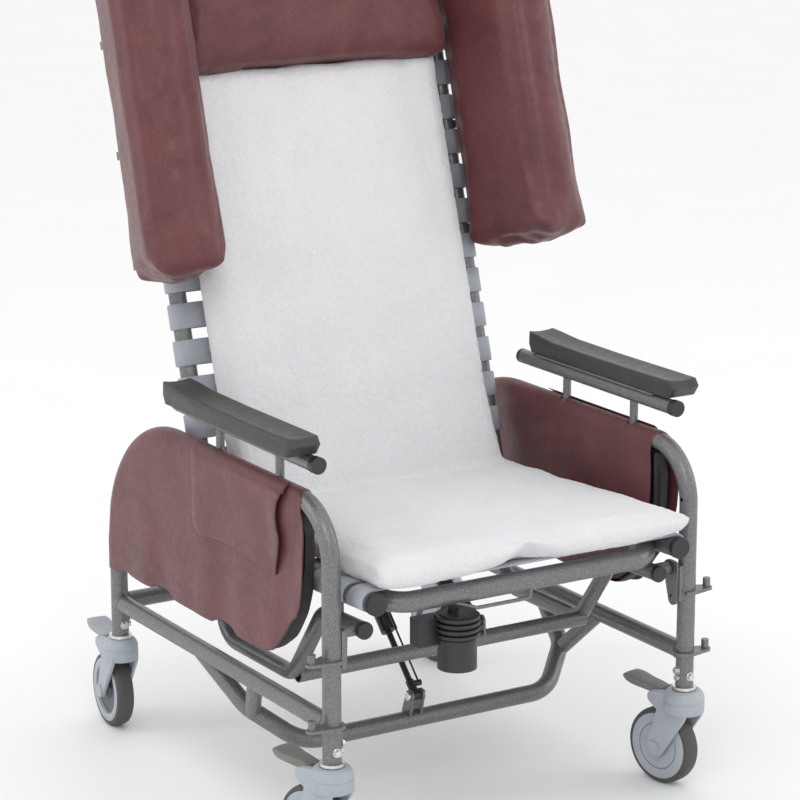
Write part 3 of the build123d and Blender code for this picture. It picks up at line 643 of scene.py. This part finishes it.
def arm_pads():
    """Moulded arm pads, dished along the middle and raised at the rear."""
    low = ARM_PAD_FOOT
    for name, side in (("left", -1), ("right", 1)):
        bm = bmesh.new()
        profile = [(-302, low), (84, low), (91, low + 12), (90, low + 34), (64, low + 32),
                   (20, low + 28), (-100, low + 27), (-270, low + 28), (-304, low + 29), (-314, low + 16)]
        x0, x1 = side * (RAIL_X - 10.5), side * (RAIL_X + 48.5)
        slab(bm, profile, x0, x1)
        inner = [e for e in bm.edges if abs(e.verts[0].co.x - e.verts[1].co.x) < 1]
        lengthwise = [e for e in inner if max(v.co.z for v in e.verts) > low + 5]
        round_edges(bm, 5.5, 4, lengthwise)
        long_edges = [e for e in bm.edges if abs(e.verts[0].co.x - e.verts[1].co.x) > 20]
        bmesh.ops.subdivide_edges(bm, edges=long_edges, cuts=7, use_grid_fill=True)
        for vert in bm.verts:
            share = (vert.co.x - (x0 + x1) / 2) / 29
            on_top = smoothstep(low + 20, low + 26, vert.co.z)
            vert.co.z -= 3.2 * on_top * max(0, 1 - share * share)
            near_end = smoothstep(0, 1, (abs(vert.co.y + 112) - 150) / 52)
            vert.co.x -= (vert.co.x - (x0 + x1) / 2) * 0.10 * near_end
        piece = finish_piece(f"arm_pad_skin_{name}", bm, LEG_SPACE, FOAM, f"armrest_{name}",
                             [f"arm_pad_{name}"], sharp=30)


# ---- straps ----
def strap_loop(bm, tube_r, width, whole):
    """One strap round both tubes, in a frame with X across, Y outward and Z along the tubes."""
    radius = tube_r + STRAP_OUT / 2
    half = STRAP_OUT / 2 - 0.3
    edge = 1.6
    section = [(radius - half, edge), (radius - half + 0.6, 0.4), (radius + half - edge, 0),
               (radius + half, edge), (radius + half, width - edge), (radius + half - edge, width),
               (radius - half + 0.6, width - 0.4), (radius - half, width - edge)]
    verts = [bm.verts.new((-SEAT_X, -r, z)) for r, z in section]
    ring = [bm.edges.new(pair) for pair in zip(verts, verts[1:] + verts[:1])]
    start = ring
    turn = pi if whole else pi * 0.62

    def spin(edges, centre, angle):
        made = bmesh.ops.spin(bm, geom=edges, cent=centre, axis=(0, 0, 1), dvec=(0, 0, 0),
                              angle=angle, steps=14, use_merge=False)["geom_last"]
        return [item for item in made if isinstance(item, bmesh.types.BMEdge)]

    def run(edges, across):
        made = bmesh.ops.extrude_edge_only(bm, edges=edges)["geom"]
        moved = [item for item in made if isinstance(item, bmesh.types.BMVert)]
        bmesh.ops.translate(bm, vec=(across, 0, 0), verts=moved)
        return [item for item in made if isinstance(item, bmesh.types.BMEdge)
                and all(v in moved for v in item.verts)]

    front = run(ring, 2 * SEAT_X)
    hook = spin(front, (SEAT_X, 0, 0), turn)
    other = spin(start, (-SEAT_X, 0, 0), -turn)
    if whole:
        bmesh.ops.bridge_loops(bm, edges=hook + other)
    else:
        for loop in (hook, other):
            bmesh.ops.contextual_create(bm, geom=loop)
    bmesh.ops.recalc_face_normals(bm, faces=bm.faces[:])


def straps():
    """Soft straps across the back and the seat."""
    bm = bmesh.new()
    for index in range(BACK_STRAPS):
        part = bmesh.new()
        strap_loop(part, BACK_R, STRAP_WIDTH, True)
        bmesh.ops.translate(part, vec=(0, 0, BACK_STRAP_FOOT + BACK_STRAP_PITCH * index), verts=part.verts[:])
        join(bm, part)
    finish_piece("back_strap_set", bm, BACK_SPACE, STRAP, "back", ["back_straps"], sharp=50)
    bm = bmesh.new()
    for index in range(SEAT_STRAPS):
        part = bmesh.new()
        strap_loop(part, SEAT_R, STRAP_WIDTH, False)
        y = SEAT_FRONT[0] + 4 + SEAT_STRAP_PITCH * index
        across, back = Vector((1, 0, 0)), Vector((0, 1, SEAT_SLOPE)).normalized()
        up = across.cross(back)
        place = Matrix((across, -up, back)).transposed().to_4x4()
        place.translation = (0, y, seat_line(y))
        bmesh.ops.transform(part, matrix=place, verts=part.verts[:])
        bmesh.ops.recalc_face_normals(part, faces=part.faces[:])
        join(bm, part)
    finish_piece("seat_strap_set", bm, LEG_SPACE, STRAP, "seat", ["seat_straps"], sharp=50)


def join(bm, part):
    """Add one shape to another."""
    mesh = bpy.data.meshes.new("part")
    part.to_mesh(mesh)
    part.free()
    bm.from_mesh(mesh)
    bpy.data.meshes.remove(mesh)


# ---- side covers ----
COVER_FOOT = [(-300, 482), (-299, 462), (-296, 440), (-291, 418), (-280, 390), (-262, 362),
              (-240, 334), (-222, 316), (-203, 304), (-180, 298), (-151, 296), (280, 295), (351, 288)]
COVER_OUT = RAIL_R + 2.2


def rail_height(y):
    """Height of the hoop's axis at y, from the front bend to the rear leg."""
    rear_y, rear_z = LEG_Y - REAR_BEND, RAIL_Z - REAR_BEND
    if y > rear_y:
        return rear_z + sqrt(max(REAR_BEND ** 2 - (y - rear_y) ** 2, 0))
    front_y = FRONT_BEND - LEG_Y
    if y < front_y:
        return RAIL_Z - FRONT_BEND + sqrt(max(FRONT_BEND ** 2 - (y - front_y) ** 2, 0))
    return RAIL_Z


def rail_normal(y, z):
    """Outward direction of the hoop at a point of its axis."""
    rear_y, rear_z = LEG_Y - REAR_BEND, RAIL_Z - REAR_BEND
    if y > rear_y and z > rear_z:
        return Vector((0, y - rear_y, z - rear_z)).normalized()
    if z <= rear_z and y > LEG_Y - 1:
        return Vector((0, 1, 0))
    front_y, front_z = FRONT_BEND - LEG_Y, RAIL_Z - FRONT_BEND
    if y < front_y:
        return Vector((0, y - front_y, z - front_z)).normalized()
    return Vector((0, 0, 1))


def cover_grid(bm, x, front, columns, rows, wave):
    """One hanging sheet of a side cover, in the plane x, between the rail and its foot."""
    made = bmesh.ops.create_grid(bm, x_segments=columns, y_segments=rows, size=1)["verts"]
    side = 1 if x > 0 else -1
    for vert in made:
        across, down = (vert.co.x + 1) / 2, (1 - vert.co.y) / 2
        y = front + (LEG_Y - front) * (across ** 1.25)
        top, foot = rail_height(y), along(COVER_FOOT, y - (front + 300) * (1 - across) ** 3)
        z = top + (foot - top) * down
        hang = smoothstep(0.15, 1, down) * smoothstep(-290, -230, y) * smoothstep(350, 290, y)
        bulge = wave * hang * (sin(y / 31) + 0.6 * sin(y / 17 + 1.3))
        waist = 14 * bell(z - 540, 17) * (1 - smoothstep(-300, -262, y))
        flute = 2.5 * (1 - smoothstep(-300, -270, y)) * sin(z / 33)
        vert.co = (x + side * (bulge + flute), y + waist, z)
    return made


def on_rail(edge):
    """True for a boundary edge that lies along the hoop's axis."""
    if not edge.is_boundary:
        return False
    for vert in edge.verts:
        y, z = vert.co.y, vert.co.z
        if y > LEG_Y - 0.5:
            continue
        if abs(z - rail_height(y)) > 9 or z < 500 and y < 0:
            return False
    return True


def round_post(point, side, post):
    """True where an armrest post passes through the top of the cover."""
    off_centre = Vector((point.x - side * RAIL_X, point.y - post))
    return point.z > RAIL_Z + 10 and off_centre.length < 9.5


def side_covers():
    """Vinyl folded over the top rail, with its outer patch and the edging inside."""
    for name, side in (("left", -1), ("right", 1)):
        bm = bmesh.new()
        cover_grid(bm, side * (RAIL_X + COVER_OUT), -300, 84, 34, 1.9)
        cover_grid(bm, side * (RAIL_X - COVER_OUT), -272, 84, 34, 1.2)
        rail = [edge for edge in bm.edges if on_rail(edge)]
        bridged = bmesh.ops.bridge_loops(bm, edges=rail)
        across = [e for e in bridged["edges"] if abs(e.verts[0].co.x - e.verts[1].co.x) > 20]
        bmesh.ops.subdivide_edges(bm, edges=across, cuts=9)
        for vert in bm.verts:
            offset = abs(vert.co.x) - RAIL_X
            if abs(offset) < COVER_OUT - 0.2:
                y = min(vert.co.y, LEG_Y)
                lift = sqrt(COVER_OUT ** 2 - offset ** 2)
                vert.co += rail_normal(y, vert.co.z) * lift
        for post in ARM_POSTS:
            near = [face for face in bm.faces if round_post(face.calc_center_median(), side, post)]
            bmesh.ops.delete(bm, geom=near, context="FACES")
        bmesh.ops.recalc_face_normals(bm, faces=bm.faces[:])
        bmesh.ops.smooth_vert(bm, verts=bm.verts[:], factor=0.4, use_axis_x=True,
                              use_axis_y=True, use_axis_z=True)
        piece = finish_piece(f"cover_sheet_{name}", bm, LEG_SPACE, VINYL, "base",
                             [f"side_cover_{name}"], sharp=None)
        add_modifier(piece, "SOLIDIFY", thickness=1.5 * MM, offset=-1)
        bake(piece)
        pocket(name, side)
        edging(name, side)


POCKET_FRONT = [(429, -219), (451, -229), (466, -236), (492, -240), (504, -233), (524, -229),
                (545, -234), (560, -245), (572, -262)]


def pocket(name, side):
    """Outer patch: stitched at the rear and along its foot, open at its curved front edge."""
    bm = bmesh.new()
    rear = 46.0
    made = bmesh.ops.create_grid(bm, x_segments=52, y_segments=26, size=1)["verts"]
    for vert in made:
        across, down = (vert.co.x + 1) / 2, (1 - vert.co.y) / 2
        corner = 18 * bell(across - 1, 0.05)
        foot = 428 + corner + 5 * bell(across - 0.45, 0.3)
        z = 560 + (foot - 560) * down
        front = along(POCKET_FRONT, z)
        y = front + (rear - front) * across
        seam = min(smoothstep(0, 0.06, 1 - across), smoothstep(0, 0.09, 1 - down))
        flare = 4.5 * (1 - smoothstep(0, 0.16, across)) * smoothstep(0, 0.35, 1 - down)
        out = COVER_OUT + 1.4 + 1.8 * seam + flare + 0.7 * sin(y / 31)
        vert.co = (side * (RAIL_X + out), y, z)
    top = [e for e in bm.edges if e.is_boundary and all(v.co.z > 559 for v in e.verts)]
    radius = COVER_OUT + 2.6
    for step in range(1, 7):
        angle = radians(12 * step)
        made = bmesh.ops.extrude_edge_only(bm, edges=top)["geom"]
        moved = [item for item in made if isinstance(item, bmesh.types.BMVert)]
        for vert in moved:
            vert.co.x = side * (RAIL_X + radius * cos(angle))
            vert.co.z = 557 + radius * sin(angle)
        top = [item for item in made if isinstance(item, bmesh.types.BMEdge)
               and all(v in moved for v in item.verts)]
    bmesh.ops.recalc_face_normals(bm, faces=bm.faces[:])
    piece = finish_piece(f"cover_patch_{name}", bm, LEG_SPACE, VINYL, "base", sharp=None)
    add_modifier(piece, "SOLIDIFY", thickness=1.5 * MM, offset=1 if side < 0 else -1)
    bake(piece)
    stitches(name, side, rear)


def stitches(name, side, rear):
    """Stitches along the patch's rear and lower seams."""
    bm = bmesh.new()
    out = RAIL_X + COVER_OUT + 3.2
    route = [(rear - 4, z, (0, 0, 1)) for z in range(452, 560, 6)]
    route += [(y, 432 + 5 * bell((y + 219) / 265 - 0.45, 0.3), (0, 1, 0)) for y in range(-208, 26, 6)]
    for y, z, direction in route:
        turn = Vector((0, 0, 1)).rotation_difference(Vector(direction)).to_matrix().to_4x4()
        place = Matrix.Translation((side * out, y, z)) @ turn
        bmesh.ops.create_cone(bm, cap_ends=True, segments=6, radius1=0.55, radius2=0.55, depth=3.6,
                              matrix=place)
    finish_piece(f"patch_stitches_{name}", bm, LEG_SPACE, VINYL, "base")


EDGING_LINE = [(-284, 540), (-286, 500), (-286, 464), (-281, 413), (-266, 374), (-235, 331), (-189, 300),
               (-150, 298)]


def edging(name, side):
    """Black band that closes the gap between the two sheets at the front."""
    bm = bmesh.new()
    half = COVER_OUT - 1.6
    x0, x1 = side * (RAIL_X - half), side * (RAIL_X + half)
    verts = [bm.verts.new((x0, y + 3, z)) for y, z in EDGING_LINE]
    edges = [bm.edges.new(pair) for pair in zip(verts, verts[1:])]
    made = bmesh.ops.extrude_edge_only(bm, edges=edges)["geom"]
    moved = [item for item in made if isinstance(item, bmesh.types.BMVert)]
    bmesh.ops.translate(bm, vec=(x1 - x0, 0, 0), verts=moved)
    bmesh.ops.subdivide_edges(bm, edges=bm.edges[:], cuts=2, use_grid_fill=True)
    for vert in bm.verts:
        share = (abs(vert.co.x) - RAIL_X) / half
        vert.co.y += 4 * share * share
    bmesh.ops.recalc_face_normals(bm, faces=bm.faces[:])
    piece = finish_piece(f"panel_edging_{name}", bm, LEG_SPACE, BOARD, "base", sharp=None)
    add_modifier(piece, "SOLIDIFY", thickness=2.0 * MM, offset=0)
    refine(piece)
    bake(piece)


# ---- casters ----
def caster_space(name):
    """Leg frame place and turn of one caster."""
    turn = JOINTS[f"{name}_roll"]["axis"]
    centre = Vector(JOINTS[f"{name}_swivel"]["pos_m"])
    along_x = Vector(turn).normalized()
    place = Matrix((along_x, Vector((0, 0, 1)).cross(along_x), Vector((0, 0, 1)))).transposed().to_4x4()
    place.translation = (centre.x, centre.y, 0)
    return place @ Matrix.Scale(MM, 4)


def arm_plate(circles, x0, x1, edge):
    """One rounded fork arm as its own shape."""
    bm = bmesh.new()
    outline = tangent_outline(circles)
    face = face_of(bm, [(x0, y, z) for y, z in outline])
    push_out(bm, face, (x1 - x0, 0, 0))
    rim = [e for e in bm.edges if all(abs(v.co.x - x1) < 0.01 for v in e.verts)]
    round_edges(bm, edge, 3, rim)
    return bm


def tangent_outline(circles, count=16):
    """Outline round two (y, z, radius) circles, joined by their outer tangents."""
    (y0, z0, r0), (y1, z1, r1) = circles
    span = Vector((y1 - y0, z1 - z0))
    heading = span.normalized()
    side_angle = acos((r0 - r1) / span.length)
    base = heading.angle_signed(Vector((1, 0)))
    points = []
    for y, z, r, start, end in ((y0, z0, r0, base + side_angle, base + 2 * pi - side_angle),
                                (y1, z1, r1, base - side_angle, base + side_angle)):
        for step in range(count + 1):
            angle = start + (end - start) * step / count
            points.append((y + r * cos(angle), z + r * sin(angle)))
    return points


def caster_housing(name, front):
    """Domed swivel head with its two arms and the pedal's shoulder."""
    radius = 33.0 if front else 29.0
    space = caster_space(name)
    bm = bmesh.new()
    profile = [(11.2, 134), (radius - 2, 128), (radius, 132), (radius, 146), (radius - 0.9, 147),
               (radius - 0.9, 148), (radius, 149), (radius - 0.4, 155), (radius - 3, 161),
               (radius - 7, 165), (radius - 10, 166), (19.6, 166), (19, 164.5), (11.2, 164.5)]
    turned(bm, profile, (0, 0, 0), (0, 0, 1), (1, 0, 0))
    for side in (-1, 1):
        boss = 17.0 if front else 12.0
        circles = [(5, 134, radius - 5), (CASTER_TRAIL, WHEEL_R, boss)]
        join(bm, arm_plate(circles, side * 18.6, side * (25.5 if front else 24.5), 2.4))
        circles = [(8, 138, radius - 8), (46, 146, 11)]
        join(bm, arm_plate(circles, side * 13.6, side * 25, 3))
        cap = bmesh.new()
        turned(cap, disc_profile(10.5, side * 24.5, side * 26.8, side * 0.9), (0, CASTER_TRAIL, WHEEL_R),
               (1, 0, 0), (0, 1, 0), 32)
        join(bm, cap)
    axle = Matrix.Translation((0, CASTER_TRAIL, WHEEL_R)) @ Matrix.Rotation(pi / 2, 4, "Y")
    bmesh.ops.create_cone(bm, cap_ends=True, segments=24, radius1=3.9, radius2=3.9, depth=46, matrix=axle)
    finish_piece(f"caster_housing_{name}", bm, space, CASTER, f"caster_{name}",
                 [f"fork_{name}"], sharp=35)


def caster_wheel(name, front):
    """Tyre with a round tread, and a wheel disc with its grooves."""
    space = caster_space(name)
    centre = (0, CASTER_TRAIL, WHEEL_R)
    bm = bmesh.new()
    tread = [(47, -13), (54, -14.6), (58, -14.6), (60.6, -12.6), (62, -9), (62.5, -4), (62.5, 4),
             (62, 9), (60.6, 12.6), (58, 14.6), (54, 14.6), (47, 13)]
    turned(bm, tread, centre, (1, 0, 0), (0, 1, 0), 96)
    finish_piece(f"caster_tyre_{name}", bm, space, TREAD, f"wheel_{name}",
                 [f"tyre_{name}"], sharp=40)
    half = 15.4
    if front:
        side = [(4.1, half - 1), (14, half - 1), (15, half - 1.6), (36.2, half), (36.6, half - 2.2),
                (38, half - 2.2), (38.4, half)]
    else:
        side = [(4.1, half - 1), (14, half - 1), (16, half - 5), (41, half - 5), (42, half - 0.8)]
    side += [(44, half), (52.5, half), (54.5, half - 1.2), (54.5, 0)]
    profile = side + [(r, -a) for r, a in reversed(side[:-1])]
    bm = bmesh.new()
    turned(bm, profile, centre, (1, 0, 0), (0, 1, 0), 96)
    disc = finish_piece(f"caster_disc_{name}", bm, space, CASTER, f"wheel_{name}",
                        [f"hub_{name}"], sharp=35)
    if not front:
        disc.data.materials.append(HUB_DARK)
        limit = 41.5 * MM
        middle = space @ Vector(centre)
        for polygon in disc.data.polygons:
            if (polygon.center - middle).length < limit:
                polygon.material_index = 1
    return disc


def caster_pedal(name, front):
    """Brake pedal: a flat lever with a swept paddle."""
    bm = bmesh.new()
    profile = [(36, 143), (60, 150), (88, 155), (108, 158), (117, 165), (113, 169), (96, 168),
               (78, 163.5), (60, 164), (40, 160)]
    slab(bm, profile, -13, 13)
    cross = [e for e in bm.edges if abs(e.verts[0].co.x - e.verts[1].co.x) > 5]
    bmesh.ops.subdivide_edges(bm, edges=cross, cuts=5, use_grid_fill=True)
    for vert in bm.verts:
        reach = smoothstep(64, 92, vert.co.y)
        vert.co.x *= 1 + 0.6 * reach - 0.35 * smoothstep(102, 118, vert.co.y)
        vert.co.z -= 0.6 * reach * (vert.co.x / 13) ** 2
    piece = finish_piece(f"brake_paddle_{name}", bm, caster_space(name), PEDAL_DARK if front else PEDAL_LIGHT,
                         f"pedal_{name}_body",
                         [f"pedal_{name}"], sharp=None)
    add_modifier(piece, "BEVEL", width=1.6 * MM, segments=3, limit_method="ANGLE")
    refine(piece)
    bake(piece)


def casters():
    """The four braked casters."""
    for name in ("front_left", "front_right", "rear_left", "rear_right"):
        front = name.startswith("front")
        caster_housing(name, front)
        caster_wheel(name, front)
        caster_pedal(name, front)


# ---- small hardware ----
def hex_head(bm, centre, axis, width, height):
    """Chamfered hexagon head on a washer."""
    turn = Vector((0, 0, 1)).rotation_difference(Vector(axis)).to_matrix().to_4x4()
    for radius, low, high, sides in ((width * 0.72, 0, 0.9, 28), (width / 2 * 1.155, 0.9, height, 6)):
        place = Matrix.Translation(centre) @ turn @ Matrix.Translation((0, 0, (low + high) / 2))
        part = bmesh.new()
        bmesh.ops.create_cone(part, cap_ends=True, segments=sides, radius1=radius, radius2=radius,
                              depth=high - low, matrix=place)
        round_edges(part, 0.35, 1)
        join(bm, part)


def leg_hardware():
    """Nuts that hold the caster stems, and the bolt heads at the tilt pivots."""
    bm = bmesh.new()
    for side in (-1, 1):
        for y in (-LEG_Y, LEG_Y):
            hex_head(bm, (side * (RAIL_X - 0.2), y - RAIL_R, 190), (0, -1, 0), 10, 6)
            hex_head(bm, (side * (RAIL_X - RAIL_R), y, 199), (-side, 0, 0), 10, 6)
        hex_head(bm, (side * (RAIL_X - RAIL_R), -LEG_Y, 366), (-side, 0, 0), 9, 5)
    finish_piece("leg_nuts", bm, LEG_SPACE, ZINC, "base")


def weld_bead(bm, centre, axis, radius, bead=1.9, steps=40):
    """Rippled ring of weld metal round a tube."""
    turn = Vector((0, 0, 1)).rotation_difference(Vector(axis)).to_matrix().to_4x4()
    part = bmesh.new()
    section = [(radius + bead * cos(2 * pi * i / 8), bead * sin(2 * pi * i / 8)) for i in range(8)]
    turned(part, section, (0, 0, 0), (0, 0, 1), (1, 0, 0), steps)
    for vert in part.verts:
        vert.co *= 1 + 0.012 * noise.noise(vert.co / 3.5)
    bmesh.ops.transform(part, matrix=Matrix.Translation(centre) @ turn, verts=part.verts[:])
    join(bm, part)


def welds():
    """Beads where the rails meet the legs."""
    bm = bmesh.new()
    for side in (-1, 1):
        for y, step in ((-LEG_Y, 1), (LEG_Y, -1)):
            weld_bead(bm, (side * RAIL_X, y + step * (RAIL_R + 0.2), 228), (0, 1, 0), RAIL_R - 0.6)
        weld_bead(bm, (side * (RAIL_X - RAIL_R - 0.2), LEG_Y, 228), (1, 0, 0), RAIL_R - 0.6)
    finish_piece("frame_welds", bm, LEG_SPACE, PAINT, "base")


make_camera()
make_studio()
finish_cad_nodes()
terry_pad()
wings()
headrest_cushion()
arm_pads()
straps()
side_covers()
casters()
leg_hardware()
welds()
